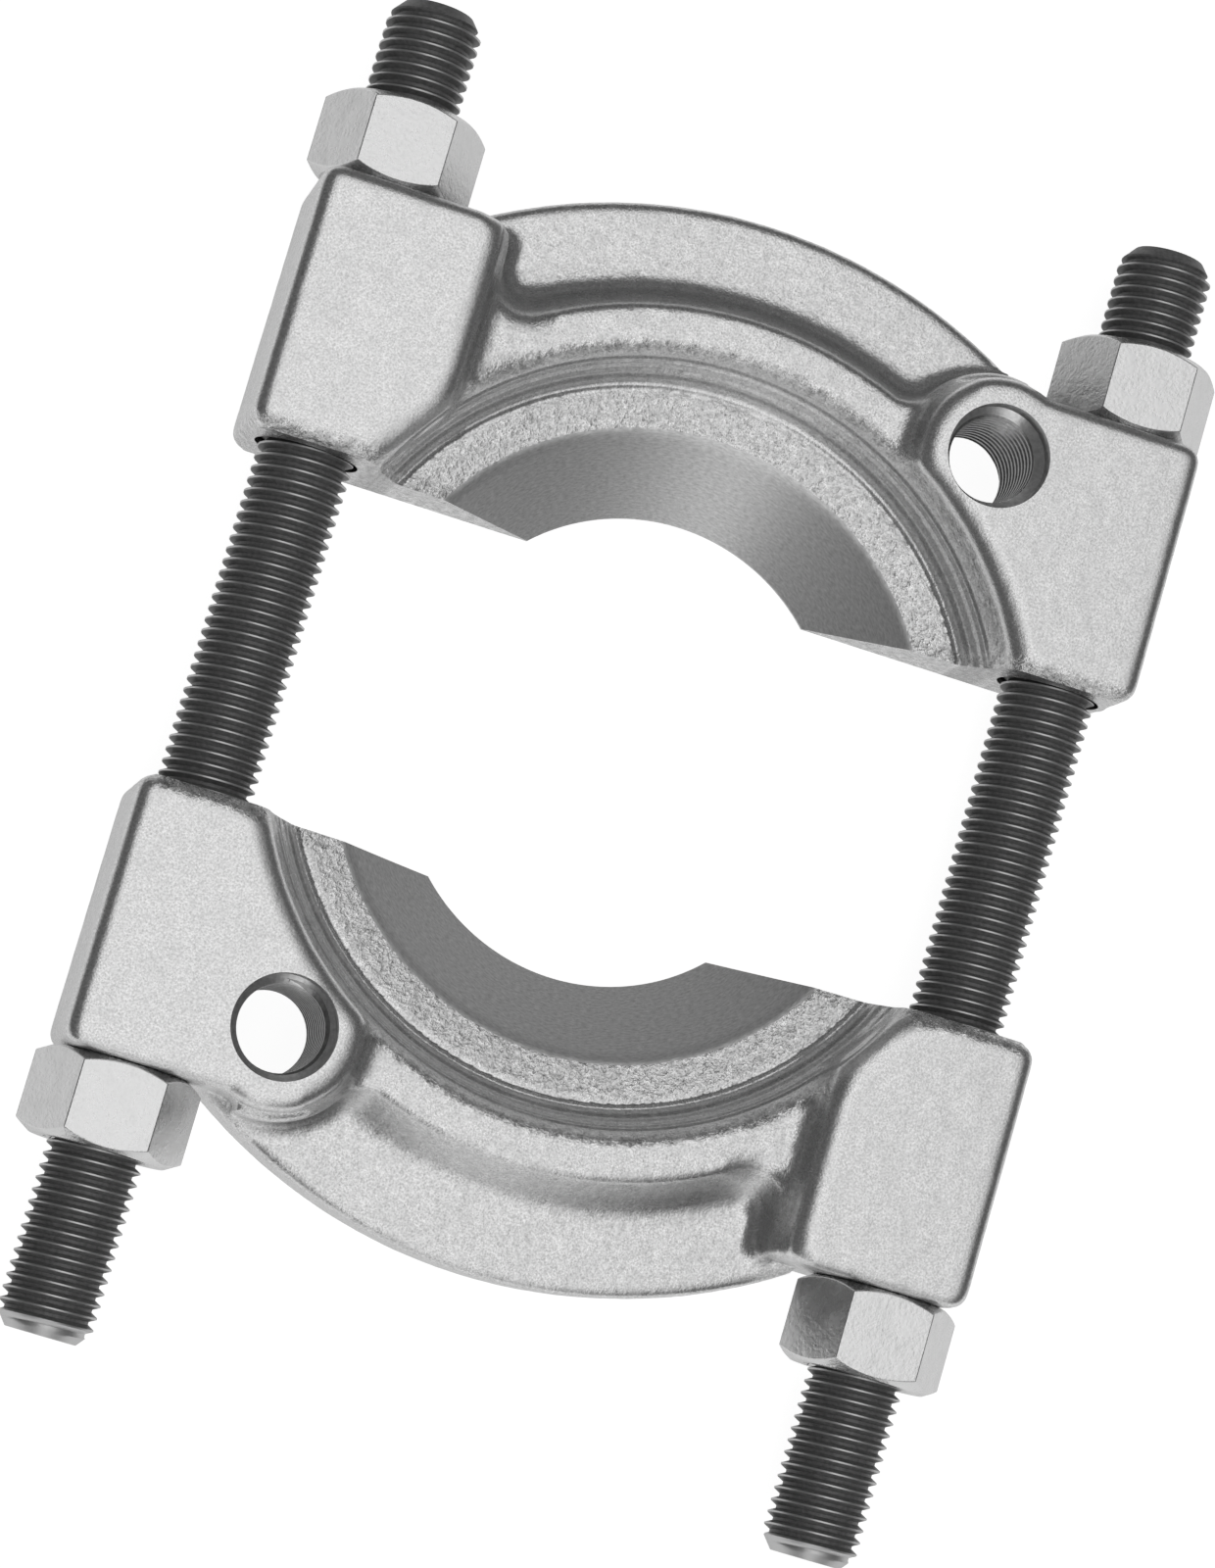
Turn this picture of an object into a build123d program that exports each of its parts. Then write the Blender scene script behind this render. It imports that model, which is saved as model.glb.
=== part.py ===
# Bearing separator
# Two identical forged jaw halves slide along two fully threaded studs. A hex nut
# on the outer face of each lug draws the halves together behind a bearing, and
# puller bolts screw into the threaded eye of each half.
# Frame: X across the studs, Y along them, Z up from the flat back that it lies on.
# The origin is on that resting plane, midway between the stud ends.

from build123d import *

import os
from math import cos, isclose, radians, tan

# Studs
stud_diameter = 16.0
stud_spacing = 130.0
stud_length = 226.0
stud_chamfer = 1.8

# Where the halves stand along the studs
jaw_gap = 58.6
jaw_shift = 6.4

# Lugs that carry the studs
lug_length = 45.0
lug_height = 28.0
lug_outer_wall = 11.6
lug_width = 31.8
stud_clearance = 0.75
corner_cut_x = 9.0
corner_cut_y = 12.2
lug_edge_radius = 2.4
lug_corner_radius = 3.0

# Ring section, measured outwards from the bore
ring_axis_setback = 24.4
bore_radius = 34.5
knife_land = 0.8
cone_width = 13.5
floor_width = 6.3
floor_height = 13.4
step_width = 1.0
step_height = 0.5
wall_width = 4.9
wall_foot_radius = 0.8
rib_height = 22.5
rib_width = 6.8
rib_inner_radius = 1.2
rib_outer_radius = 2.0
rib_slope = 4.5

# Flange round the outside of the ring
flange_height = 13.0
flange_radius = 90.5
flange_centre_setback = 29.1
flange_half_width = 50.5
flange_top_radius = 2.0
flange_bottom_radius = 1.0

# Pocket over the flange, and the narrow ledge that it leaves at the foot of the lugs
ledge_width = 1.5
pocket_corner_radius = 4.5
pocket_foot_radius = 3.0
lug_wall_clearance = 0.3

# Threaded eye for the puller bolt
eye_x = 43.1
eye_from_split = 32.8
eye_thread_diameter = 16.0
eye_thread_pitch = 1.5
eye_mouth_radius = 8.7
eye_mouth_depth = 3.6
eye_boss_radius = 13.5
thread_depth_ratio = 0.5413

# Nuts
nut_across_flats = 24.0
nut_height = 14.5
nut_bevel_angle = 30.0
nut_face_ratio = 0.95
nut_bore_clearance = 0.05
nut_bore_chamfer = 0.8
nut_sides = 6

# Positions that follow from the sizes above
stud_x = stud_spacing / 2
stud_z = lug_height / 2
stud_radius = stud_diameter / 2
split_y = jaw_shift + jaw_gap / 2
nut_face_y = split_y + lug_length
lug_outer_x = stud_x + lug_outer_wall
lug_inner_x = lug_outer_x - lug_width
ring_axis_y = split_y - ring_axis_setback
flange_axis_y = split_y - flange_centre_setback
eye_y = split_y + eye_from_split
eye_bore_radius = eye_thread_diameter / 2 - thread_depth_ratio * eye_thread_pitch
ledge_x = ledge_width - lug_inner_x
ledge_radius = eye_boss_radius + ledge_width
cone_radius = bore_radius + cone_width
floor_radius = cone_radius + floor_width
step_radius = floor_radius + step_width
cup_radius = step_radius + wall_width
lug_wall_radius = cup_radius - lug_wall_clearance
rib_edge_radius = cup_radius + rib_width
rib_foot = rib_edge_radius + rib_slope
rib_lean = rib_slope / (rib_height - flange_height)
reach = 2 * flange_radius
ring_axis = Axis((0, ring_axis_y, 0), (0, 0, 1))
ring_section = Plane(origin=(0, ring_axis_y, 0), x_dir=(1, 0, 0), z_dir=(0, -1, 0))
jaw_axis = Axis((0, jaw_shift, 0), (0, 0, 1))

# Plan outline of one half: a lug at each end and the curved flange between them
with BuildSketch() as jaw_outline:
    with Locations((0, flange_axis_y)):
        Circle(flange_radius)
    with Locations((0, split_y)):
        Rectangle(2 * flange_half_width, flange_radius, align=(Align.CENTER, Align.MIN), mode=Mode.INTERSECT)
        Rectangle(2 * lug_outer_x, lug_length, align=(Align.CENTER, Align.MIN))

# Plan of the plain lug, with its corner towards the bore cut away
with BuildSketch() as plain_lug_plan:
    with BuildLine():
        Polyline(
            (-lug_outer_x, split_y),
            (-lug_inner_x - corner_cut_x, split_y),
            (-lug_inner_x, split_y + corner_cut_y),
            (-lug_inner_x, nut_face_y),
            (-lug_outer_x, nut_face_y),
            close=True,
        )
    make_face()

# Plan of the eye lug: it follows the cup on the inside and the boss round the eye
with BuildSketch() as eye_lug_plan:
    with Locations((lug_outer_x, split_y)):
        Rectangle(lug_outer_x - eye_x, lug_length, align=(Align.MAX, Align.MIN))
        Rectangle(lug_outer_x - eye_x + eye_boss_radius, eye_from_split, align=(Align.MAX, Align.MIN))
    with Locations((eye_x, eye_y)):
        Circle(eye_boss_radius)
    with Locations((0, ring_axis_y)):
        Circle(lug_wall_radius, mode=Mode.SUBTRACT)

# Plan of the open pocket over the flange, from the plain lug's ledge round the eye boss
with BuildSketch() as pocket_plan:
    with Locations((ledge_x, split_y)):
        Rectangle(lug_outer_x - ledge_width - ledge_x, reach, align=(Align.MIN, Align.MIN))
    with Locations((eye_x - ledge_radius, split_y)):
        Rectangle(reach, eye_from_split, align=(Align.MIN, Align.MIN), mode=Mode.SUBTRACT)
    with Locations((eye_x, eye_y)):
        Circle(ledge_radius, mode=Mode.SUBTRACT)

# The pocket itself, as the punch that forges it: its inner side slopes as the rib does
with BuildPart() as pocket:
    with BuildSketch(ring_section):
        with BuildLine():
            Polyline(
                (rib_foot, flange_height),
                (reach, flange_height),
                (reach, lug_height),
                (rib_edge_radius - rib_lean * (lug_height - rib_height), lug_height),
                close=True,
            )
        make_face()
    revolve(axis=ring_axis)
    extrude(pocket_plan.sketch, amount=lug_height, mode=Mode.INTERSECT)
    straight_or_round = pocket.edges().filter_by(GeomType.LINE) + pocket.edges().filter_by(GeomType.CIRCLE)
    fillet(pocket.edges() - straight_or_round, radius=pocket_corner_radius)
    foot = pocket.faces().sort_by(Axis.Z)[0].edges().filter_by(GeomType.CIRCLE)
    fillet(foot.filter_by(lambda edge: isclose(edge.radius, rib_foot)), radius=pocket_foot_radius)

# Plan of the forging above the flange, which ends level with the nut face beside the plain lug
with BuildSketch(Plane.XY.offset(flange_height)) as upper_plan:
    add(jaw_outline.sketch)
    with Locations((ledge_x + pocket_foot_radius, nut_face_y)):
        Rectangle(reach, reach, align=(Align.MAX, Align.MIN), mode=Mode.SUBTRACT)
    with Locations((eye_x + pocket_foot_radius, nut_face_y)):
        Rectangle(reach, reach, align=(Align.MIN, Align.MIN), mode=Mode.SUBTRACT)

# Half with its eye on the right: a flange with rounded rims and the forging above it,
# the cup and knife edge turned out of both, then the lugs, and last the holes
with BuildPart() as upper_jaw:
    with Locations((0, flange_axis_y)):
        Cylinder(flange_radius, flange_height, align=(Align.CENTER, Align.CENTER, Align.MIN))
    fillet(upper_jaw.edges().filter_by(GeomType.CIRCLE).sort_by(Axis.Z)[-1], radius=flange_top_radius)
    fillet(upper_jaw.edges().filter_by(GeomType.CIRCLE).sort_by(Axis.Z)[0], radius=flange_bottom_radius)
    extrude(jaw_outline.sketch, amount=lug_height, mode=Mode.INTERSECT)
    extrude(upper_plan.sketch, amount=rib_height - flange_height)
    add(pocket.part, mode=Mode.SUBTRACT)
    with BuildSketch(ring_section):
        with BuildLine():
            cup_side = FilletPolyline(
                (floor_radius, floor_height + step_height),
                (step_radius, floor_height + step_height),
                (cup_radius, rib_height),
                radius=wall_foot_radius,
            )
            Polyline(
                cup_side @ 1,
                (cup_radius, lug_height),
                (0, lug_height),
                (0, 0),
                (bore_radius, 0),
                (bore_radius, knife_land),
                (cone_radius, floor_height),
                (floor_radius, floor_height),
                cup_side @ 0,
            )
        make_face()
    revolve(axis=ring_axis, mode=Mode.SUBTRACT)
    for crest_radius, rounding in ((cup_radius, rib_inner_radius), (rib_edge_radius, rib_outer_radius)):
        crest = upper_jaw.faces().sort_by(Axis.Z)[-1].edges().filter_by(GeomType.CIRCLE)
        fillet(crest.filter_by(lambda edge: isclose(edge.radius, crest_radius)), radius=rounding)
    extrude(plain_lug_plan.sketch, amount=lug_height)
    extrude(eye_lug_plan.sketch, amount=lug_height)
    fillet(upper_jaw.edges().filter_by(Axis.Z).group_by(Axis.X)[0], radius=lug_corner_radius)
    fillet(upper_jaw.edges().filter_by(Axis.Z).group_by(Axis.X)[-1], radius=lug_corner_radius)
    fillet(upper_jaw.faces().group_by(Axis.Z)[-1].edges(), radius=lug_edge_radius)
    with Locations(Plane(origin=(0, split_y, stud_z), x_dir=(1, 0, 0), z_dir=(0, -1, 0))):
        with GridLocations(stud_spacing, stud_spacing, 2, 1):
            Hole(stud_radius + stud_clearance)
    with Locations((eye_x, eye_y, lug_height)):
        CounterBoreHole(eye_bore_radius, eye_mouth_radius, eye_mouth_depth)
upper_jaw.part.label = "upper_jaw"

# The other half is the same forging, turned round to face the first
with BuildPart() as lower_jaw:
    add(upper_jaw.part.rotate(jaw_axis, 180))
lower_jaw.part.label = "lower_jaw"

# Studs, their thread crests as the outer size and both ends bevelled
with BuildPart(Plane(origin=(-stud_x, 0, stud_z), x_dir=(1, 0, 0), z_dir=(0, 1, 0))) as left_stud:
    Cylinder(stud_radius, stud_length)
    chamfer(left_stud.edges().filter_by(GeomType.CIRCLE), length=stud_chamfer)
left_stud.part.label = "left_stud"

with BuildPart() as right_stud:
    add(left_stud.part.mirror(Plane.YZ))
right_stud.part.label = "right_stud"

# Hex nut with both faces bevelled and two of its flats level with the resting plane
nut_corner_radius = nut_across_flats / 2 / cos(radians(180 / nut_sides))
nut_face_radius = nut_face_ratio * nut_across_flats / 2
nut_bevel_height = (nut_corner_radius - nut_face_radius) * tan(radians(nut_bevel_angle))
with BuildPart() as nut:
    with BuildSketch(Plane.XZ):
        with BuildLine():
            Polyline(
                (0, 0),
                (nut_face_radius, 0),
                (nut_corner_radius, nut_bevel_height),
                (nut_corner_radius, nut_height - nut_bevel_height),
                (nut_face_radius, nut_height),
                (0, nut_height),
                close=True,
            )
        make_face()
    revolve(axis=Axis.Z)
    with BuildSketch():
        RegularPolygon(nut_across_flats / 2, nut_sides, major_radius=False)
    extrude(amount=nut_height, mode=Mode.INTERSECT)
    Hole(stud_radius + nut_bore_clearance)
    chamfer(nut.edges().filter_by(GeomType.CIRCLE).sort_by(SortBy.RADIUS)[:2], length=nut_bore_chamfer)

# Each nut is screwed along its stud until it seats on the outer face of a lug
lower_nut_face_y = 2 * jaw_shift - nut_face_y
nut_seats = {
    "upper_left_nut": Plane(origin=(-stud_x, nut_face_y, stud_z), x_dir=(1, 0, 0), z_dir=(0, 1, 0)),
    "upper_right_nut": Plane(origin=(stud_x, nut_face_y, stud_z), x_dir=(1, 0, 0), z_dir=(0, 1, 0)),
    "lower_left_nut": Plane(origin=(-stud_x, lower_nut_face_y, stud_z), x_dir=(1, 0, 0), z_dir=(0, -1, 0)),
    "lower_right_nut": Plane(origin=(stud_x, lower_nut_face_y, stud_z), x_dir=(1, 0, 0), z_dir=(0, -1, 0)),
}

os.makedirs("parts", exist_ok=True)
for name, seat in nut_seats.items():
    with BuildPart(seat) as seated_nut:
        add(nut.part)
    seated_nut.part.label = name
    export_step(seated_nut.part, f"parts/{name}.step")
for piece in (upper_jaw, lower_jaw, left_stud, right_stud):
    export_step(piece.part, f"parts/{piece.part.label}.step")
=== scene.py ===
from math import pi, radians

import bpy
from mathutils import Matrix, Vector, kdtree


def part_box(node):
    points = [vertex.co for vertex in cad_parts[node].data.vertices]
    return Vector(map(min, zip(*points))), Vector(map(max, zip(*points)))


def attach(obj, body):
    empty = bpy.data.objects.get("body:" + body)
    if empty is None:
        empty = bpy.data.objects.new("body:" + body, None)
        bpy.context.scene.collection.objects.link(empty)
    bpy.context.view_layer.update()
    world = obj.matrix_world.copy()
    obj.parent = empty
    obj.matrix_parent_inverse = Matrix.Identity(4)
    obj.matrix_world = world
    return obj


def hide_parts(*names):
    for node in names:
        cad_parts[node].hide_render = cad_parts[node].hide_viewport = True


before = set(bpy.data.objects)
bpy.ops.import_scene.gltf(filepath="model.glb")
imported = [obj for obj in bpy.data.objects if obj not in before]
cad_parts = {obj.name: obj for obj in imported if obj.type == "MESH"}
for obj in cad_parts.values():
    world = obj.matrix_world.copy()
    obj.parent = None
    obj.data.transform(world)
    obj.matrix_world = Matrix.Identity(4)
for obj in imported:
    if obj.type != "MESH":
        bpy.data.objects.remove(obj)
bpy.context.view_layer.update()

# Jaw halves
# Two identical drop forgings of plated steel with a sand-rough skin. The split, the
# knife-edged cone, the stud bores and the threaded eye are machined into the forging.
# The second half is the first one turned round about the middle of the opening.
MM = 0.001
weld_gap = 0.001 * MM
jaw_low, jaw_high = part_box("upper_jaw")
other_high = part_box("lower_jaw")[1]
split_y = jaw_low.y
jaw_shift = (jaw_low.y + other_high.y) / 2
lug_top = jaw_high.z
lug_length = 45.0 * MM
lug_inner_x = 44.8 * MM
corner_cut_x = 9.0 * MM
corner_cut_y = 12.2 * MM
nut_face_y = split_y + lug_length
rib_top = 22.5 * MM
flange_top = 13.0 * MM
ring_setback = 24.4 * MM
ring_y = split_y - ring_setback
stud_x = 65.0 * MM
stud_z = lug_top / 2
stud_bore_radius = 8.75 * MM
knife_radius = 34.5 * MM
knife_land = 0.8 * MM
cone_radius = 48.0 * MM
cone_top = 13.4 * MM
floor_edge = 54.3 * MM
eye_x = 43.1 * MM
eye_y = split_y + 32.8 * MM
eye_minor_radius = 7.19 * MM
eye_major_radius = 8.0 * MM
eye_mouth_radius = 8.7 * MM
eye_mouth_depth = 3.6 * MM


def only(piece, mode="OBJECT"):
    """Leaves nothing else selected, makes the piece active and changes mode."""
    if bpy.context.object and bpy.context.object.mode != "OBJECT":
        bpy.ops.object.mode_set(mode="OBJECT")
    bpy.ops.object.select_all(action="DESELECT")
    piece.select_set(True)
    bpy.context.view_layer.objects.active = piece
    bpy.ops.object.mode_set(mode=mode)


def edit_all(piece):
    """Opens a piece in edit mode with its whole mesh selected."""
    only(piece, "EDIT")
    bpy.ops.mesh.select_all(action="SELECT")


def apply_modifier(piece, kind, **settings):
    """Adds one modifier with its settings and applies it."""
    only(piece)
    modifier = piece.modifiers.new(kind.lower(), kind)
    for name, value in settings.items():
        setattr(modifier, name, value)
    bpy.ops.object.modifier_apply(modifier=modifier.name)


def named(name):
    """Names the object that was just added and its mesh, and bakes its place into the mesh."""
    piece = bpy.context.object
    piece.name = piece.data.name = name
    bpy.ops.object.transform_apply(location=True, rotation=True, scale=True)
    return piece


def cylinder(name, radius, length, place, turn=(0, 0, 0), sides=96):
    bpy.ops.object.select_all(action="DESELECT")
    bpy.ops.mesh.primitive_cylinder_add(
        vertices=sides, radius=radius, depth=length, location=place, rotation=turn
    )
    return named(name)


def copy_of(piece, name):
    """A second object with a mesh of its own."""
    twin = piece.copy()
    twin.data = piece.data.copy()
    twin.name = twin.data.name = name
    twin.parent = None
    bpy.context.scene.collection.objects.link(twin)
    return twin


def join(first, *others):
    """Makes one mesh of several pieces, under the first one's name."""
    only(first)
    for other in others:
        other.select_set(True)
    bpy.ops.object.join()


def thread_or_lathe(name, profile, pitch=0.0, turns=1, steps=96):
    """Turns an (r, z) profile about Z. With a pitch it climbs as a thread, from z = 0 up."""
    mesh = bpy.data.meshes.new(name)
    edges = [(corner, corner + 1) for corner in range(len(profile) - 1)]
    mesh.from_pydata([(r, 0, z) for r, z in profile], edges, [])
    piece = bpy.data.objects.new(name, mesh)
    bpy.context.scene.collection.objects.link(piece)
    apply_modifier(piece, "SCREW", angle=2 * pi, screw_offset=pitch, iterations=turns, steps=steps,
                   render_steps=steps, use_merge_vertices=not pitch, merge_threshold=weld_gap)
    edit_all(piece)
    bpy.ops.mesh.remove_doubles(threshold=2 * weld_gap)
    bpy.ops.mesh.normals_make_consistent(inside=False)
    bpy.ops.object.mode_set(mode="OBJECT")
    return piece


def cut_to_length(piece, low, high):
    """Cuts a thread about Z square at both ends and closes them."""
    only(piece, "EDIT")
    for end, direction in ((low, -1), (high, 1)):
        bpy.ops.mesh.select_all(action="SELECT")
        bpy.ops.mesh.bisect(plane_co=(0, 0, end), plane_no=(0, 0, direction), use_fill=True,
                            clear_outer=True, threshold=weld_gap)
    bpy.ops.mesh.select_all(action="SELECT")
    bpy.ops.mesh.normals_make_consistent(inside=False)
    bpy.ops.object.mode_set(mode="OBJECT")


def place_at(piece, location, turn=(0, 0, 0)):
    """Moves and turns a piece, and bakes that into its mesh."""
    only(piece)
    piece.rotation_mode = "XYZ"
    piece.rotation_euler = turn
    piece.location = location
    bpy.ops.object.transform_apply(location=True, rotation=True, scale=True)


def ring_distance(place):
    """How far a point of the upper half lies from its ring axis."""
    return (place.x ** 2 + (place.y - ring_y) ** 2) ** 0.5


def mark(group, vertex, inside, fade_width):
    """Adds a vertex to a group, full where it lies further inside the stretch than the fade width."""
    if inside > 0:
        group.add([vertex.index], min(1.0, inside / fade_width), "REPLACE")


def soften(piece, passes, group=""):
    """Smooths a whole piece, or only one of its vertex groups."""
    apply_modifier(piece, "SMOOTH", factor=0.5, iterations=passes, vertex_group=group)


def roughen(piece, name, grain_size, octaves, **settings):
    """Pushes a piece's surface in and out by a cloud texture."""
    clouds = bpy.data.textures.new(name, "CLOUDS")
    clouds.noise_scale = grain_size
    clouds.noise_depth = octaves
    apply_modifier(piece, "DISPLACE", texture=clouds, texture_coords="LOCAL", **settings)


# The forging before machining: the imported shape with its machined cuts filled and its
# split face drawn out, skinned over and softened as a hammered edge is
overrun = 2.0 * MM
plug_overlap = 1.0 * MM
cone_plug_overlap = 1.5 * MM
along_studs = (pi / 2, 0, 0)
skin_voxel = 0.55 * MM
square_on = 0.999
split_slack = 0.01 * MM
blank = copy_of(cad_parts["upper_jaw"], "jaw_blank")
blank.data.materials.clear()
only(blank)
bpy.ops.mesh.customdata_custom_splitnormals_clear()
edit_all(blank)
bpy.ops.mesh.remove_doubles(threshold=weld_gap)
bpy.ops.mesh.select_all(action="DESELECT")
bpy.ops.object.mode_set(mode="OBJECT")
for face in blank.data.polygons:
    face.select = face.normal.y < -square_on and abs(face.center.y - split_y) < split_slack
bpy.ops.object.mode_set(mode="EDIT")
bpy.ops.mesh.extrude_region_move(TRANSFORM_OT_translate={"value": (0, -overrun, 0)})
bpy.ops.object.mode_set(mode="OBJECT")

cone_plug = cylinder("cone_plug", cone_radius + cone_plug_overlap, cone_top, (0, ring_y, cone_top / 2),
                     sides=192)
edit_all(cone_plug)
bpy.ops.mesh.bisect(plane_co=(0, split_y - overrun, 0), plane_no=(0, 1, 0), use_fill=True, clear_inner=True)
bpy.ops.object.mode_set(mode="OBJECT")
eye_plug = cylinder("eye_plug", eye_mouth_radius + plug_overlap, lug_top, (eye_x, eye_y, lug_top / 2))
plugs = [cone_plug, eye_plug]
for side in (-1, 1):
    plugs.append(cylinder("bore_plug", stud_bore_radius + plug_overlap, nut_face_y - split_y + overrun,
                          (side * stud_x, (nut_face_y + split_y - overrun) / 2, stud_z), along_studs))
join(blank, *plugs)
blank.data.remesh_voxel_size = skin_voxel
only(blank)
bpy.ops.object.voxel_remesh()
soften(blank, passes=5)

# The lugs' top edges and the plain lug's upright corners, softened further as the hammer
# leaves them
top_edge_start = rib_top + 0.5 * MM
corner_start = flange_top + 1.0 * MM
corner_reach = 3.5 * MM
edge_fade = 1.5 * MM
plan_corners = [
    (-lug_inner_x, nut_face_y),
    (-lug_inner_x, split_y + corner_cut_y),
    (-lug_inner_x - corner_cut_x, split_y),
]
soft_edges = blank.vertex_groups.new(name="soft_edges")
soft_corners = blank.vertex_groups.new(name="soft_corners")
for vertex in blank.data.vertices:
    mark(soft_edges, vertex, vertex.co.z - top_edge_start, edge_fade)
    if vertex.co.z > corner_start:
        off = min(((vertex.co.x - x) ** 2 + (vertex.co.y - y) ** 2) ** 0.5 for x, y in plan_corners)
        mark(soft_corners, vertex, corner_reach - off, edge_fade)
soften(blank, passes=16, group="soft_edges")
soften(blank, passes=40, group="soft_corners")

# The draft of the lugs' inner walls, the wide hollow along the foot of the rib and the
# round of the rib's crest
upright_below = 0.7
walls_end_x = stud_x - 7.0 * MM
rib_wall_end_y = nut_face_y - 3.0 * MM
pocket_wall_foot = flange_top + 2.0 * MM
pocket_wall_x = (-47.0 * MM, -36.0 * MM)
pocket_wall_y = (split_y + 22.0 * MM, nut_face_y - 0.5 * MM)
wall_reach = 3.5 * MM
wall_fade = 2.0 * MM
above_flange = flange_top - 0.2 * MM
ring_fade = 1.5 * MM
foot_inner, foot_outer, foot_ceiling = 69.0 * MM, 77.0 * MM, 19.0 * MM
rib_crest_inner, rib_crest_outer, rib_crest_floor = 57.8 * MM, 63.5 * MM, 18.5 * MM


def on_lug_wall(vertex):
    """True on the lugs' upright inner walls, over the rib and beside the pocket's plain end."""
    x, y, z = vertex.co
    upright = abs(vertex.normal.z) < upright_below and abs(x) < walls_end_x
    over_rib = z > rib_top and y < rib_wall_end_y
    beside_pocket = pocket_wall_x[0] < x < pocket_wall_x[1] and pocket_wall_y[0] < y < pocket_wall_y[1]
    return upright and (over_rib or beside_pocket and z > pocket_wall_foot)


wall_points = [vertex.co for vertex in blank.data.vertices if on_lug_wall(vertex)]
nearest = kdtree.KDTree(len(wall_points))
for number, point in enumerate(wall_points):
    nearest.insert(point, number)
nearest.balance()
soft_walls = blank.vertex_groups.new(name="soft_walls")
soft_foot = blank.vertex_groups.new(name="soft_foot")
soft_crest = blank.vertex_groups.new(name="soft_crest")
for vertex in blank.data.vertices:
    if vertex.co.z > above_flange:
        mark(soft_walls, vertex, wall_reach - nearest.find(vertex.co)[2], wall_fade)
        radius = ring_distance(vertex.co)
        in_foot = min(radius - foot_inner, foot_outer - radius, foot_ceiling - vertex.co.z)
        mark(soft_foot, vertex, in_foot, ring_fade)
        in_crest = min(radius - rib_crest_inner, rib_crest_outer - radius, vertex.co.z - rib_crest_floor)
        mark(soft_crest, vertex, in_crest, ring_fade)
soften(blank, passes=100, group="soft_walls")
soften(blank, passes=50, group="soft_foot")
soften(blank, passes=30, group="soft_crest")

# The coarse hammered grain of the band between the cone and the cup wall, and the
# unevenness of the whole skin
floor_slack = 0.5 * MM
floor_fade = 0.8 * MM
grain = blank.vertex_groups.new(name="grain")
for vertex in blank.data.vertices:
    if abs(vertex.co.z - cone_top) < floor_slack:
        mark(grain, vertex, floor_edge - ring_distance(vertex.co), floor_fade)
roughen(blank, "hammered_grain", grain_size=1.1 * MM, octaves=2, vertex_group="grain", direction="Z",
        mid_level=0.5, strength=0.3 * MM)
roughen(blank, "uneven_skin", grain_size=3.0 * MM, octaves=3, direction="NORMAL",
        mid_level=1.0, strength=0.10 * MM)


def metal(name, grey, roughness):
    """A steel of one grey and one roughness, with the nodes to add its skin to."""
    material = bpy.data.materials.new(name)
    material.use_nodes = True
    shader = material.node_tree.nodes["Principled BSDF"]
    shader.inputs["Metallic"].default_value = 1.0
    shader.inputs["Base Color"].default_value = (grey, grey, grey, 1)
    shader.inputs["Roughness"].default_value = roughness
    return material, material.node_tree, shader


def spot_on(tree):
    """Object coordinates, which stay with the metal when a piece moves."""
    return tree.nodes.new("ShaderNodeTexCoord").outputs["Object"]


def axes_of(tree, vector):
    """The X, Y and Z of a vector."""
    axes = tree.nodes.new("ShaderNodeSeparateXYZ")
    tree.links.new(vector, axes.inputs["Vector"])
    return axes.outputs


def maths(tree, operation, first, second=0.0):
    """One math node on two values, each a socket or a number."""
    node = tree.nodes.new("ShaderNodeMath")
    node.operation = operation
    for slot, value in enumerate((first, second)):
        if isinstance(value, (int, float)):
            node.inputs[slot].default_value = value
        else:
            tree.links.new(value, node.inputs[slot])
    return node.outputs["Value"]


def times(tree, first, second):
    return maths(tree, "MULTIPLY", first, second)


def plus(tree, first, second):
    return maths(tree, "ADD", first, second)


def minus(tree, first, second):
    return maths(tree, "SUBTRACT", first, second)


def greater(tree, first, second):
    return maths(tree, "MAXIMUM", first, second)


def root_of_squares(tree, first, second):
    """The long side of a right triangle, from its two others."""
    squares = plus(tree, maths(tree, "POWER", first, 2), maths(tree, "POWER", second, 2))
    return maths(tree, "SQRT", squares)


def fade(tree, value, start, end):
    """Rises smoothly from 0 at start to 1 at end; end may be the lower of the two."""
    step = tree.nodes.new("ShaderNodeMapRange")
    step.interpolation_type = "SMOOTHSTEP"
    step.inputs["From Min"].default_value = start
    step.inputs["From Max"].default_value = end
    tree.links.new(value, step.inputs["Value"])
    return step.outputs["Result"]


def band(tree, value, low, high, soft):
    """1 between low and high, fading to 0 over the soft width on each side."""
    rise = fade(tree, value, low - soft, low + soft)
    fall = fade(tree, value, high + soft, high - soft)
    return times(tree, rise, fall)


def noise(tree, vector, scale, detail=4.0, roughness=0.6):
    """Noise from 0 to 1. On a spot in metres, its scale is in waves to the metre."""
    texture = tree.nodes.new("ShaderNodeTexNoise")
    texture.inputs["Scale"].default_value = scale
    texture.inputs["Detail"].default_value = detail
    texture.inputs["Roughness"].default_value = roughness
    tree.links.new(vector, texture.inputs["Vector"])
    return texture.outputs["Fac"]


def rings_noise(tree, radius, scale, detail=3.0):
    """Noise that changes only with the distance from the ring axis."""
    along = tree.nodes.new("ShaderNodeCombineXYZ")
    tree.links.new(radius, along.inputs["X"])
    return noise(tree, along.outputs["Vector"], scale, detail)


def relief(tree, value):
    """A noise about zero, so that a mask can fade it out to flat."""
    return minus(tree, value, 0.5)


def ramp(tree, value, stops):
    """Maps a value to greys, from (position, grey) stops."""
    colours = tree.nodes.new("ShaderNodeValToRGB")
    colours.color_ramp.elements[0].position, first = stops[0]
    colours.color_ramp.elements[0].color = (first, first, first, 1)
    colours.color_ramp.elements[1].position, last = stops[-1]
    colours.color_ramp.elements[1].color = (last, last, last, 1)
    for position, grey in stops[1:-1]:
        colours.color_ramp.elements.new(position).color = (grey, grey, grey, 1)
    tree.links.new(value, colours.inputs["Fac"])
    return colours.outputs["Color"]


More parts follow.
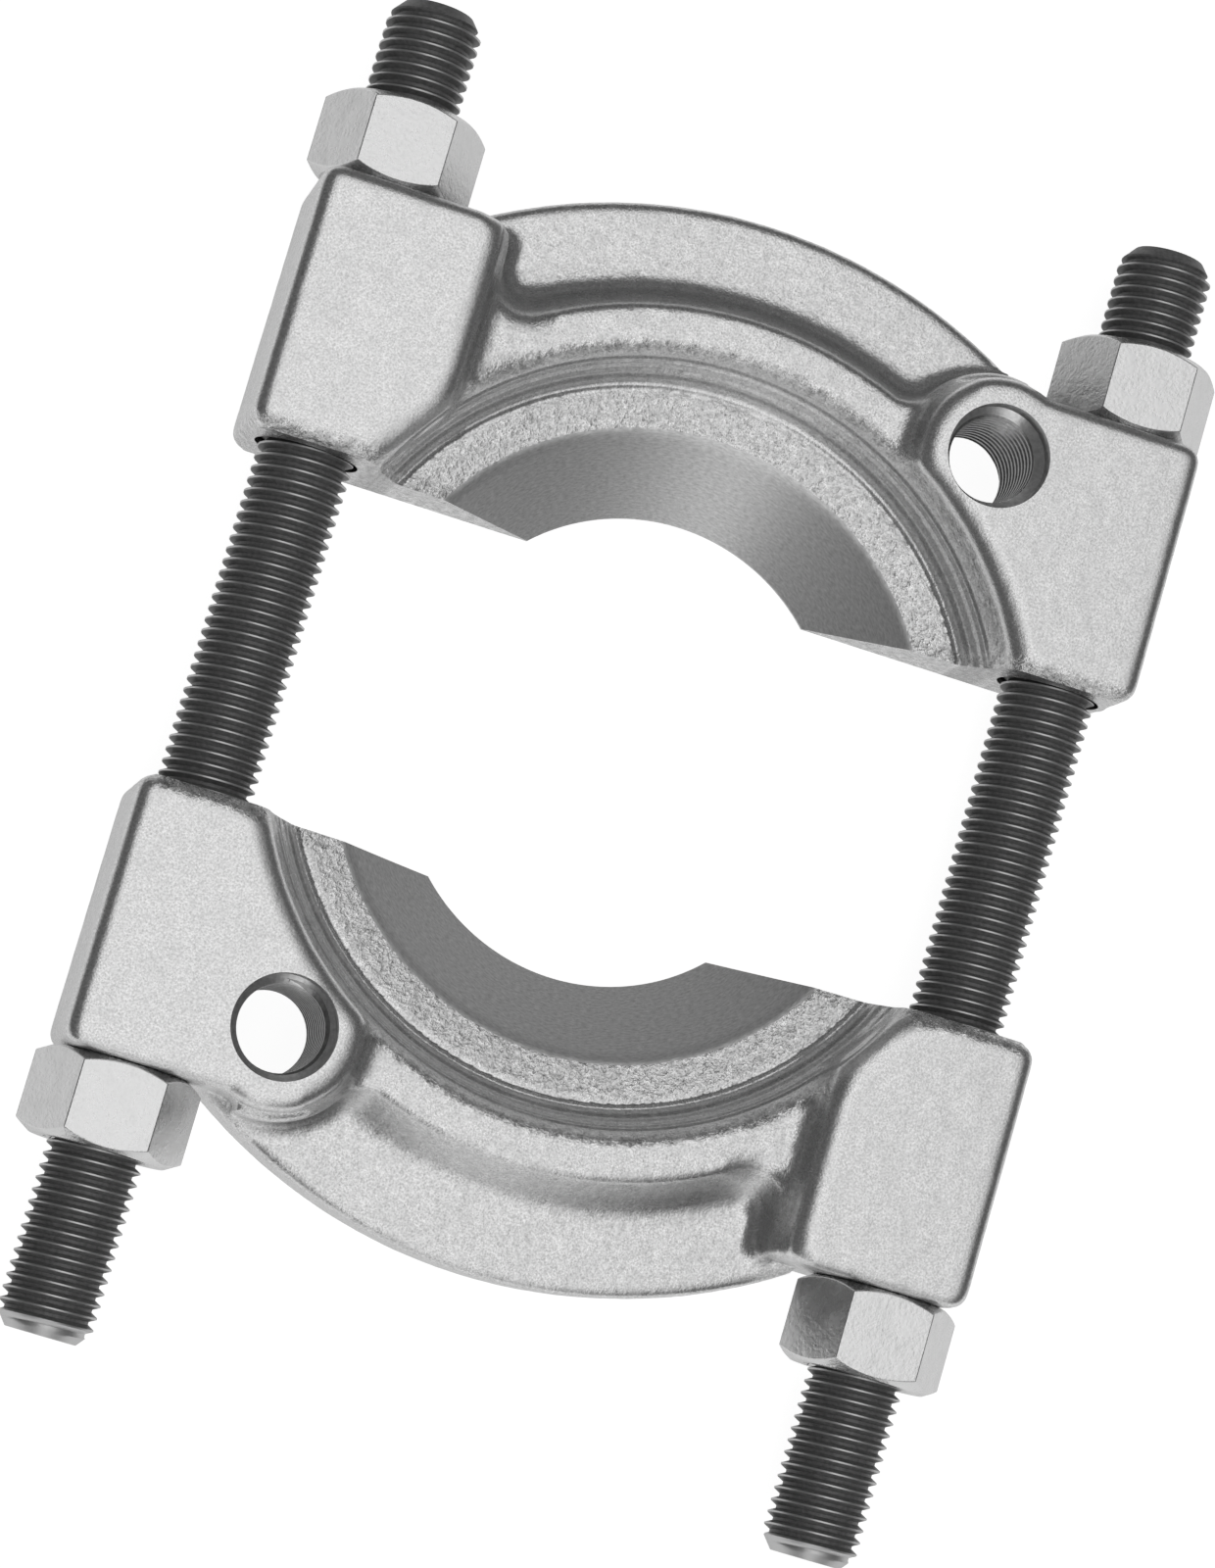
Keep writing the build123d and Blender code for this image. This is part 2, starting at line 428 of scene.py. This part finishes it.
def mottled(tree, value, lowest, highest):
    """Spreads a noise, which seldom leaves its middle, from one value to another."""
    noise_low, noise_high = 0.3, 0.7
    return ramp(tree, value, ((noise_low, lowest), (noise_high, highest)))


def bump(tree, shader, height, depth, strength=1.0):
    """Adds one more bump over those that a shader has, with its depth in metres."""
    layer = tree.nodes.new("ShaderNodeBump")
    layer.inputs["Distance"].default_value = depth
    layer.inputs["Strength"].default_value = strength
    tree.links.new(height, layer.inputs["Height"])
    below = shader.inputs["Normal"].links
    if below:
        tree.links.new(below[0].from_socket, layer.inputs["Normal"])
    tree.links.new(layer.outputs["Normal"], shader.inputs["Normal"])


def outward_from_ring(tree, spot, centre_y):
    """The level vector from a half's ring axis to a spot, and its length."""
    centred = tree.nodes.new("ShaderNodeMapping")
    centred.inputs["Location"].default_value = (0, -centre_y, 0)
    tree.links.new(spot, centred.inputs["Vector"])
    level = tree.nodes.new("ShaderNodeVectorMath")
    level.operation = "MULTIPLY"
    level.inputs[1].default_value = (1, 1, 0)
    tree.links.new(centred.outputs["Vector"], level.inputs[0])
    length = tree.nodes.new("ShaderNodeVectorMath")
    length.operation = "LENGTH"
    tree.links.new(level.outputs["Vector"], length.inputs[0])
    return level.outputs["Vector"], length.outputs["Value"]


# Rings of the cup and the rib, each from an inner to an outer radius with a soft edge
hammered_floor = (46.0 * MM, 53.8 * MM, 0.5 * MM)
floor_lip = (54.7 * MM, 55.1 * MM, 0.35 * MM)
cup_wall = (55.2 * MM, 60.4 * MM, 0.8 * MM)
wall_ridge = (56.4 * MM, 56.9 * MM, 0.6 * MM)
wall_groove = (58.2 * MM, 58.5 * MM, 0.4 * MM)
rib_crest = (59.2 * MM, 61.4 * MM, 0.7 * MM)

# How far the cup's rings stand up, or are sunk where below zero, in line depths
line_depth = 0.5 * MM
lip_height = 0.35
ridge_height = 1.6
groove_height = -1.4
scratch_height = 0.5

# How strong the grit is on each stretch of the skin, how much painted shade in its hollows and painted
# highlight on its peaks it puts in the colour, and how pale the painted highlight on the floor's lip is
split_grit = 1.6
crest_grit = 1.7
lug_grit = 0.06
low_grit = 0.40
pit_painted_shade = 0.8
lip_painted_highlight = 0.12
wall_dullness = 0.45


def forged_skin(name, centre_y):
    """Plated forging: a pale sand-rough skin, crinkled on the cup's floor and lined on its wall."""
    material, tree, shader = metal(name, grey=0.72, roughness=0.3)
    spot = spot_on(tree)
    axes = axes_of(tree, spot)
    radius = outward_from_ring(tree, spot, centre_y)[1]
    from_centre = maths(tree, "ABSOLUTE", minus(tree, axes["Y"], centre_y))
    sand = noise(tree, spot, scale=2800)
    grit = relief(tree, noise(tree, spot, scale=700))
    patches = noise(tree, spot, scale=180)

    below_rib = fade(tree, axes["Z"], start=17.0 * MM, end=14.5 * MM)
    below_lugs = fade(tree, axes["Z"], start=26.5 * MM, end=23.0 * MM)
    split_edge = fade(tree, from_centre, start=ring_setback + 3.2 * MM, end=ring_setback + 1.2 * MM)
    floor = times(tree, band(tree, radius, *hammered_floor), below_rib)
    lip_and_painted_highlight = band(tree, radius, *floor_lip)
    wall = band(tree, radius, *cup_wall)
    ridge = band(tree, radius, *wall_ridge)
    groove = band(tree, radius, *wall_groove)
    crest = times(tree, band(tree, radius, *rib_crest), below_lugs)

    scratches = times(tree, relief(tree, rings_noise(tree, radius, scale=520, detail=2)), scratch_height)
    lines = times(tree, wall, scratches)
    for ring, rise in ((groove, groove_height), (ridge, ridge_height), (lip_and_painted_highlight, lip_height)):
        lines = plus(tree, lines, times(tree, ring, rise))
    edges = greater(tree, times(tree, split_edge, split_grit), times(tree, crest, crest_grit))
    plain_skin = plus(tree, lug_grit, times(tree, below_lugs, low_grit))
    rough = times(tree, grit, greater(tree, edges, plain_skin))
    crinkle = times(tree, relief(tree, noise(tree, spot, scale=1150, detail=3)), floor)
    relief_painted_shade = plus(tree, rough, crinkle)

    # The grit and the crinkle also shade the colour: painted shade in their hollows and painted highlight on
    # their peaks
    grey = plus(tree, mottled(tree, sand, lowest=0.54, highest=0.92), times(tree, relief_painted_shade, pit_painted_shade))
    # A painted highlight along the lip round the cup's floor, paler than the skin beside it
    grey = plus(tree, grey, times(tree, lip_and_painted_highlight, lip_painted_highlight))
    tree.links.new(grey, shader.inputs["Base Color"])
    tree.links.new(minus(tree, 1.0, times(tree, wall, wall_dullness)), shader.inputs["Metallic"])
    tree.links.new(mottled(tree, patches, lowest=0.24, highest=0.30), shader.inputs["Roughness"])
    bump(tree, shader, patches, depth=0.06 * MM, strength=0.5)
    bump(tree, shader, lines, depth=line_depth)
    bump(tree, shader, rough, depth=0.22 * MM)
    bump(tree, shader, crinkle, depth=0.24 * MM)
    bump(tree, shader, sand, depth=0.04 * MM)
    return material


def turned_face(name, centre_y):
    """Bare machined steel with the fine rings that the cutting tool leaves."""
    material, tree, shader = metal(name, grey=0.52, roughness=0.42)
    outward, radius = outward_from_ring(tree, spot_on(tree), centre_y)
    shader.inputs["Anisotropic"].default_value = 0.6
    tree.links.new(outward, shader.inputs["Tangent"])
    sides = axes_of(tree, outward)
    angle = maths(tree, "ARCTAN2", sides["Y"], sides["X"])
    flecks_per_metre = 4000
    flecks_per_radian = 40
    around = tree.nodes.new("ShaderNodeCombineXYZ")
    tree.links.new(times(tree, radius, flecks_per_metre), around.inputs["X"])
    tree.links.new(times(tree, angle, flecks_per_radian), around.inputs["Y"])
    flecks = noise(tree, around.outputs["Vector"], scale=1.0, roughness=0.7)
    tree.links.new(mottled(tree, flecks, lowest=0.48, highest=0.80), shader.inputs["Base Color"])
    bump(tree, shader, rings_noise(tree, radius, scale=900), depth=0.02 * MM, strength=0.4)
    bump(tree, shader, rings_noise(tree, radius, scale=4500), depth=0.02 * MM, strength=0.5)
    bump(tree, shader, flecks, depth=0.03 * MM, strength=0.8)
    return material


def bored_wall(name, darkest, palest):
    """The wall of a drilled hole, streaked where the drill has rubbed it."""
    material, tree, shader = metal(name, palest, roughness=0.28)
    streaks = noise(tree, spot_on(tree), scale=1200)
    tree.links.new(mottled(tree, streaks, darkest, palest), shader.inputs["Base Color"])
    bump(tree, shader, streaks, depth=0.03 * MM, strength=0.8)
    return material


ring_centres = {"upper": ring_y, "lower": 2 * jaw_shift - ring_y}
jaw_skin = {side: forged_skin(f"forged_skin_{side}", centre) for side, centre in ring_centres.items()}
jaw_cut = {side: turned_face(f"turned_face_{side}", centre) for side, centre in ring_centres.items()}
bore_wall = bored_wall("bored_wall", darkest=0.22, palest=0.41)
# The mouth's wall is a paler copy of the bored steel, painted light on the eye's mouth
mouth_wall_painted_light = bored_wall("mouth_wall_painted_light", darkest=0.60, palest=0.85)

# The machining: the split, the knife edge with its cone, the stud bores and the eye
split_block = (300.0 * MM, 40.0 * MM, 100.0 * MM)
bpy.ops.object.select_all(action="DESELECT")
bpy.ops.mesh.primitive_cube_add(size=1, location=(0, split_y - split_block[1] / 2, stud_z), scale=split_block)
split_cutter = named("split_cutter")

cone_slope = (cone_radius - knife_radius) / (cone_top - knife_land)
cone_lift = 1.5 * MM
cone_rings = 12
below_back = -4.0 * MM
knife_profile = [(0, below_back), (knife_radius, below_back)]
for ring in range(cone_rings + 1):
    lift = (cone_top + cone_lift - knife_land) * ring / cone_rings
    knife_profile.append((knife_radius + cone_slope * lift, knife_land + lift))
knife_profile.append((0, cone_top + cone_lift))
knife_cutter = thread_or_lathe("knife_cutter", knife_profile, steps=256)
place_at(knife_cutter, (0, ring_y, 0))

eye_pitch = 2.0 * MM
eye_turns = 19
eye_thread_drop = 3.0 * MM
eye_thread_low = 1.2 * eye_pitch
eye_thread_high = (eye_turns - 0.8) * eye_pitch
eye_land = 0.40 * eye_pitch
flank_slope = 0.577
eye_flank = (eye_major_radius - eye_minor_radius) * flank_slope
eye_profile = [
    (eye_minor_radius, 0),
    (eye_minor_radius, eye_land),
    (eye_major_radius, eye_land + eye_flank),
    (eye_major_radius, eye_pitch - eye_flank),
    (eye_minor_radius, eye_pitch),
]
eye_cutter = thread_or_lathe("eye_cutter", eye_profile, eye_pitch, eye_turns, steps=48)
cut_to_length(eye_cutter, eye_thread_low, eye_thread_high)
place_at(eye_cutter, (eye_x, eye_y, -eye_thread_drop))

eye_lead_in = 1.2 * MM
mouth_cutter = thread_or_lathe("mouth_cutter", [
    (0, -eye_mouth_depth - eye_lead_in),
    (eye_minor_radius, -eye_mouth_depth - eye_lead_in),
    (eye_mouth_radius, -eye_mouth_depth),
    (eye_mouth_radius, eye_mouth_depth),
    (0, eye_mouth_depth),
])
place_at(mouth_cutter, (eye_x, eye_y, lug_top))

bore_cut_length = 60.0 * MM
bore_cut_middle = split_y + 22.0 * MM
cuts = [(knife_cutter, jaw_cut["upper"]), (eye_cutter, bore_wall), (mouth_cutter, mouth_wall_painted_light)]
for side in (-1, 1):
    bore_cutter = cylinder("bore_cutter", stud_bore_radius, bore_cut_length,
                           (side * stud_x, bore_cut_middle, stud_z), along_studs)
    cuts.append((bore_cutter, bore_wall))
cuts.append((split_cutter, jaw_skin["upper"]))

blank.data.materials.append(jaw_skin["upper"])
for cutter, wall in cuts:
    cutter.data.materials.append(wall)
    apply_modifier(blank, "BOOLEAN", operation="DIFFERENCE", object=cutter, solver="EXACT",
                   material_mode="TRANSFER")
    bpy.data.objects.remove(cutter)

# The band between cone and cup wall dips a little towards the bore
floor_middle = 51.0 * MM
floor_slope = 0.14
for vertex in blank.data.vertices:
    radius = ring_distance(vertex.co)
    if cone_radius - floor_slack < radius < floor_edge and abs(vertex.co.z - cone_top) < floor_slack:
        share = min(1.0, (floor_edge - radius) / floor_fade)
        vertex.co.z += (radius - floor_middle) * floor_slope * share

forging_crease = radians(32)
upper = blank
upper.name = upper.data.name = "upper_jaw_forging"
only(upper)
bpy.ops.object.shade_smooth_by_angle(angle=forging_crease)
lower = copy_of(upper, "lower_jaw_forging")
place_at(lower, (0, 2 * jaw_shift, 0), (0, 0, pi))
lower_finish = {jaw_skin["upper"]: jaw_skin["lower"], jaw_cut["upper"]: jaw_cut["lower"]}
for number, material in enumerate(list(lower.data.materials)):
    lower.data.materials[number] = lower_finish.get(material, material)
for piece, node, body in ((upper, "upper_jaw", "upper_half"), (lower, "lower_jaw", "lower_half")):
    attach(piece, body)
    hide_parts(node)

# Studs
# Two lengths of M16 x 2 all-thread in dark oiled steel, both ends turned to a bevel.
# Each passes through a lug of both halves and is held only by the nuts.
thread_pitch = 2.0 * MM
crest_radius = 8.0 * MM
root_radius = 6.85 * MM
stud_half = 113.0 * MM
bevel_depth = 2.1 * MM
bevel_length = 2.6 * MM
thread_steps = 36
spare_turns = 3
thread_turns = int(2 * stud_half / thread_pitch) + spare_turns
crest_flat = thread_pitch / 8
root_flat = thread_pitch / 4
flank = (thread_pitch - crest_flat - root_flat) / 2
flank_middle = (root_radius + crest_radius) / 2
crest_start = root_flat / 2 + flank
crest_end = crest_start + crest_flat
thread_profile = [
    (root_radius, 0),
    (root_radius, root_flat / 2),
    (flank_middle, crest_start - flank / 2),
    (crest_radius, crest_start),
    (crest_radius, crest_end),
    (flank_middle, crest_end + flank / 2),
    (root_radius, crest_end + flank),
    (root_radius, thread_pitch),
]
rod = thread_or_lathe("left_threaded_stud", thread_profile, thread_pitch, thread_turns, thread_steps)
middle = (thread_turns + 1) * thread_pitch / 2
cut_to_length(rod, middle - stud_half, middle + stud_half)
for vertex in rod.data.vertices:
    from_end = stud_half - abs(vertex.co.z - middle)
    allowed = crest_radius - max(0.0, bevel_length - from_end) * bevel_depth / bevel_length
    radius = (vertex.co.x ** 2 + vertex.co.y ** 2) ** 0.5
    if radius > allowed:
        vertex.co.x *= allowed / radius
        vertex.co.y *= allowed / radius
place_at(rod, (-stud_x, middle, stud_z), along_studs)
thread_crease = radians(28)
bpy.ops.object.shade_smooth_by_angle(angle=thread_crease)

# Dark oxide, rubbed bright on the thread's crests, and pale metallic steel on the bevels of the ends towards
# -Y
bare_steel = 0.62
wear_depth = 0.3 * MM
near_end = bevel_length - stud_half
oxide, tree, shader = metal("dark_oiled_steel", grey=0.1, roughness=0.4)
spot = spot_on(tree)
axes = axes_of(tree, spot)
across = minus(tree, maths(tree, "ABSOLUTE", axes["X"]), stud_x)
above = minus(tree, axes["Z"], stud_z)
wear = noise(tree, spot, scale=260, detail=3)
oil = noise(tree, spot, scale=1400)
worn_radius = plus(tree, root_of_squares(tree, across, above), times(tree, wear, wear_depth))
worn_crest = fade(tree, worn_radius, start=7.95 * MM, end=8.1 * MM)
near_bevel_pale = fade(tree, axes["Y"], start=near_end + 0.2 * MM, end=near_end - 0.1 * MM)
bare = greater(tree, worn_crest, near_bevel_pale)
blend = tree.nodes.new("ShaderNodeMix")
blend.data_type = "RGBA"
blend.inputs["B"].default_value = (bare_steel, bare_steel, bare_steel, 1)
tree.links.new(bare, blend.inputs["Factor"])
tree.links.new(mottled(tree, oil, lowest=0.12, highest=0.22), blend.inputs["A"])
tree.links.new(blend.outputs["Result"], shader.inputs["Base Color"])
tree.links.new(bare, shader.inputs["Metallic"])
bump(tree, shader, oil, depth=0.03 * MM, strength=0.8)
rod.data.materials.append(oxide)
twin_rod = copy_of(rod, "right_threaded_stud")
place_at(twin_rod, (2 * stud_x, 0, 0))
for piece, node in ((rod, "left_stud"), (twin_rod, "right_stud")):
    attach(piece, "studs")
    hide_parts(node)

# Nuts
# Four M16 hex nuts, smooth bright plating, both faces bevelled. Each seats on the
# outer face of its lug with two flats level with the bench.
plating, tree, shader = metal("bright_plated_steel", grey=0.8, roughness=0.24)
spot = spot_on(tree)
speckle = noise(tree, spot, scale=1500)
cloudy = noise(tree, spot, scale=300)
tree.links.new(mottled(tree, cloudy, lowest=0.70, highest=0.84), shader.inputs["Base Color"])
tree.links.new(mottled(tree, cloudy, lowest=0.20, highest=0.32), shader.inputs["Roughness"])
bump(tree, shader, cloudy, depth=0.12 * MM, strength=0.8)
bump(tree, shader, speckle, depth=0.08 * MM)

across_flats = 24.0 * MM
nut_height = 14.5 * MM
nut_face_radius = 11.2 * MM
nut_bevel_slope = 0.62
nut_bore_radius = 8.05 * MM
nut_bore_bevel = 0.8 * MM
nut_edge_round = 0.8 * MM
round_from = radians(24)
nut_crease = radians(35)
cut_past = 1.0 * MM
corner_radius = across_flats / 3 ** 0.5
bevel_radius = corner_radius + 0.5 * MM
half_height = nut_height / 2
bevel_foot = half_height - (bevel_radius - nut_face_radius) * nut_bevel_slope
bpy.ops.object.select_all(action="DESELECT")
bpy.ops.mesh.primitive_cylinder_add(vertices=6, radius=corner_radius, depth=nut_height,
                                    rotation=(0, 0, pi / 6))
nut = named("hex_nut")
turned_blank = thread_or_lathe("turned_blank", [
    (0, -half_height),
    (nut_face_radius, -half_height),
    (bevel_radius, -bevel_foot),
    (bevel_radius, bevel_foot),
    (nut_face_radius, half_height),
    (0, half_height),
])
nut_bore = thread_or_lathe("nut_bore", [
    (0, -half_height - cut_past),
    (nut_bore_radius + nut_bore_bevel + cut_past, -half_height - cut_past),
    (nut_bore_radius, -half_height + nut_bore_bevel),
    (nut_bore_radius, half_height - nut_bore_bevel),
    (nut_bore_radius + nut_bore_bevel + cut_past, half_height + cut_past),
    (0, half_height + cut_past),
])
for tool, operation in ((turned_blank, "INTERSECT"), (nut_bore, "DIFFERENCE")):
    apply_modifier(nut, "BOOLEAN", operation=operation, object=tool, solver="EXACT")
    bpy.data.objects.remove(tool)
apply_modifier(nut, "BEVEL", limit_method="ANGLE", angle_limit=round_from, width=nut_edge_round, segments=3)
only(nut)
bpy.ops.object.shade_smooth_by_angle(angle=nut_crease)
apply_modifier(nut, "WEIGHTED_NORMAL", keep_sharp=True)
nut.data.materials.append(plating)
for side, seat, outwards in (("upper", nut_face_y, 1), ("lower", 2 * jaw_shift - nut_face_y, -1)):
    for hand, x in (("left", -stud_x), ("right", stud_x)):
        piece = copy_of(nut, f"{side}_{hand}_hex_nut")
        place_at(piece, (x, seat + outwards * half_height, stud_z), along_studs)
        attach(piece, f"nut_{side}_{hand}")
        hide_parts(f"{side}_{hand}_nut")
bpy.data.objects.remove(nut)

# Bench, light and camera
# A white bench under a wide soft light from above, seen by a camera almost overhead.
# The bench also glows in the metal's reflections alone, a painted reflection that is paler on its near side
# than on its far one.
bench_size = 6
bench_grey = 0.38
seen_level = 0.93
bpy.ops.object.select_all(action="DESELECT")
bpy.ops.mesh.primitive_plane_add(size=bench_size, location=(0, 0, 0))
bench = bpy.context.object
bench.name = "bench"
white = bpy.data.materials.new("white_bench")
white.use_nodes = True
tree = white.node_tree
matt = tree.nodes["Principled BSDF"]
matt.inputs["Base Color"].default_value = (bench_grey, bench_grey, bench_grey, 1)
matt.inputs["Roughness"].default_value = 1.0
matt.inputs["Specular IOR Level"].default_value = 0.0
rays = tree.nodes.new("ShaderNodeLightPath").outputs


def slant(tree, tilt):
    """How far a ray that meets the bench is from a normal tilted towards +Y."""
    weight = tree.nodes.new("ShaderNodeLayerWeight")
    weight.inputs["Blend"].default_value = 0.5
    normal = tree.nodes.new("ShaderNodeCombineXYZ")
    normal.inputs["Y"].default_value = tilt
    normal.inputs["Z"].default_value = (1 - tilt ** 2) ** 0.5
    tree.links.new(normal.outputs["Vector"], weight.inputs["Normal"])
    return weight.outputs["Facing"]


# The bench's painted reflection in the metal, as (slant, level) from a ray straight down to a grazing one
far_painted_glow = ((0.0, 0.50), (0.35, 0.60), (0.6, 0.58), (0.8, 0.16), (0.95, 0.02))
near_painted_glow = ((0.0, 0.50), (0.35, 0.62), (0.6, 0.66), (0.8, 0.60), (0.95, 0.46))
side_tilt = 0.34
steepness = slant(tree, 0.0)
towards_near = minus(tree, slant(tree, -side_tilt), slant(tree, side_tilt))
near_share = fade(tree, towards_near, start=-0.15, end=0.15)
far_painted_reflection = times(tree, ramp(tree, steepness, far_painted_glow), minus(tree, 1.0, near_share))
near_painted_reflection = times(tree, ramp(tree, steepness, near_painted_glow), near_share)
# Only reflected rays see this glow: a painted reflection of the bench in the metal
painted_reflection = times(tree, rays["Is Glossy Ray"], plus(tree, near_painted_reflection, far_painted_reflection))
glow = tree.nodes.new("ShaderNodeEmission")
glow.inputs["Color"].default_value = (1, 1, 1, 1)
tree.links.new(plus(tree, times(tree, rays["Is Camera Ray"], seen_level), painted_reflection), glow.inputs["Strength"])
both = tree.nodes.new("ShaderNodeAddShader")
tree.links.new(matt.outputs["BSDF"], both.inputs[0])
tree.links.new(glow.outputs["Emission"], both.inputs[1])
tree.links.new(both.outputs["Shader"], tree.nodes["Material Output"].inputs["Surface"])
bench.data.materials.append(white)

# A soft box overhead, in a dim room. Its left and far edges cut off, it fades slowly to
# the right, and it reaches down to the horizon on the -Y side.
lowest_up = 0.02
length_share = 0.45
room_level = 0.12
box_level = 0.95
overhead_gain = 0.10
world = bpy.context.scene.world or bpy.data.worlds.new("studio")
bpy.context.scene.world = world
world.use_nodes = True
tree = world.node_tree
sky_axes = axes_of(tree, tree.nodes.new("ShaderNodeTexCoord").outputs["Generated"])
up = greater(tree, sky_axes["Z"], lowest_up)
spread = root_of_squares(tree, up, times(tree, sky_axes["Y"], length_share))
across = maths(tree, "DIVIDE", sky_axes["X"], spread)
along = maths(tree, "DIVIDE", sky_axes["Y"], up)
left_edge = fade(tree, across, start=-0.40, end=-0.05)
right_edge = fade(tree, across, start=1.1, end=-0.15)
far_edge = fade(tree, along, start=1.0, end=0.4)
inside = times(tree, times(tree, left_edge, right_edge), far_edge)
overhead = times(tree, fade(tree, along, start=-6.0, end=-1.0), overhead_gain)
sky = plus(tree, room_level, times(tree, inside, plus(tree, box_level, overhead)))
tree.links.new(sky, tree.nodes["Background"].inputs["Color"])
tree.nodes["Background"].inputs["Strength"].default_value = 1.0

camera_place = (-138.15 * MM, -120.57 * MM, 871.17 * MM)
camera_turn = (radians(4.9918), radians(-10.8513), radians(16.3848))
camera_lens = 122.78
camera_sensor = 36
bpy.ops.object.camera_add(location=camera_place, rotation=camera_turn)
camera = bpy.context.object
camera.data.lens = camera_lens
camera.data.sensor_width = camera_sensor
bpy.context.scene.camera = camera
bpy.context.scene.view_settings.view_transform = "Standard"
